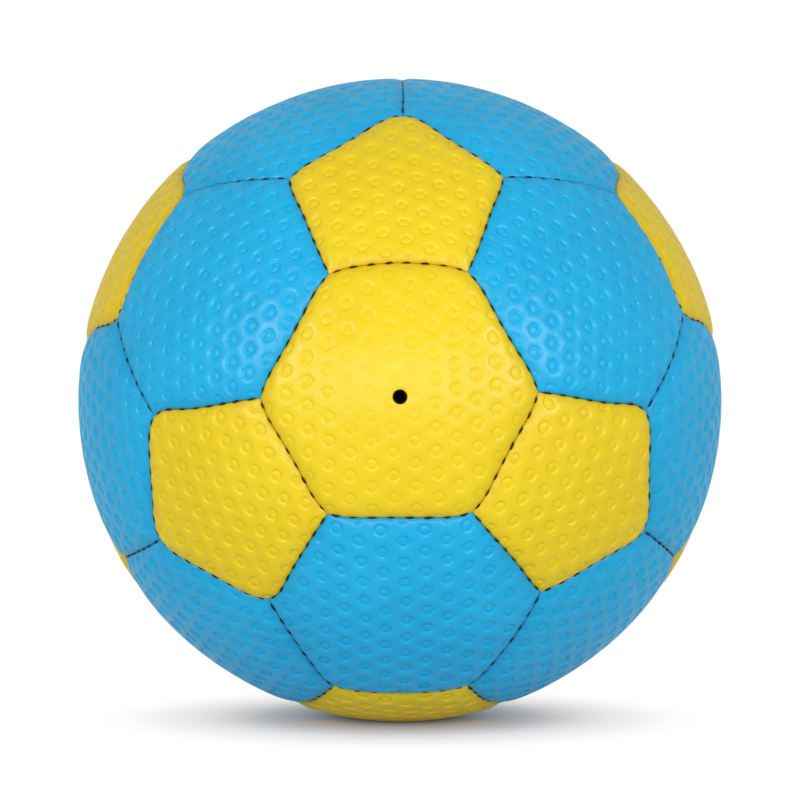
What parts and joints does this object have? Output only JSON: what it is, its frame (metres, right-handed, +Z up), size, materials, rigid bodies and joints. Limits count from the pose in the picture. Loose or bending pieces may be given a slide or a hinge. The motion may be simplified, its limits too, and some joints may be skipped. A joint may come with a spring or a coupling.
{
  "type": "handball",
  "caption": "Inflated ball with a sewn cover of pentagon and hexagon panels over cloth linings and a rubber bladder, and a needle valve in one panel.",
  "frame": {"origin": "centre of the ball", "axes": "+Z up, valve axis along -Y, and a pentagon panel above the valve panel"},
  "size_m": [0.188, 0.188, 0.188],
  "materials": {
    "yellow_skin": "satin",
    "blue_skin": "satin",
    "lining_cloth": "matte",
    "black_thread": "satin",
    "bladder_rubber": "satin",
    "valve_rubber": "matte",
    "patch_cloth": "matte"
  },
  "bodies": {
    "root": {"valve_panel": "yellow_skin", "hexagon_panel_01": "blue_skin", "hexagon_panel_02": "blue_skin", "hexagon_panel_03": "blue_skin", "hexagon_panel_04": "blue_skin", "hexagon_panel_05": "blue_skin", "hexagon_panel_06": "blue_skin", "hexagon_panel_07": "blue_skin", "hexagon_panel_08": "blue_skin", "hexagon_panel_09": "blue_skin", "hexagon_panel_10": "blue_skin", "hexagon_panel_11": "blue_skin", "hexagon_panel_12": "blue_skin", "hexagon_panel_13": "blue_skin", "hexagon_panel_14": "blue_skin", "hexagon_panel_15": "blue_skin", "hexagon_panel_16": "blue_skin", "hexagon_panel_17": "blue_skin", "hexagon_panel_18": "blue_skin", "hexagon_panel_19": "yellow_skin", "pentagon_panel_01": "yellow_skin", "pentagon_panel_02": "yellow_skin", "pentagon_panel_03": "yellow_skin", "pentagon_panel_04": "yellow_skin", "pentagon_panel_05": "yellow_skin", "pentagon_panel_06": "yellow_skin", "pentagon_panel_07": "yellow_skin", "pentagon_panel_08": "yellow_skin", "pentagon_panel_09": "yellow_skin", "pentagon_panel_10": "yellow_skin", "pentagon_panel_11": "yellow_skin", "pentagon_panel_12": "yellow_skin", "valve_panel_lining": "lining_cloth", "hexagon_linings": "lining_cloth", "pentagon_linings": "lining_cloth", "front_half_thread": "black_thread", "rear_half_thread": "black_thread", "closing_seam_thread": "black_thread", "bladder": "bladder_rubber", "valve_patch": "patch_cloth", "valve_body": "valve_rubber", "valve_plug": "valve_rubber"}
  },
  "joints": []
}
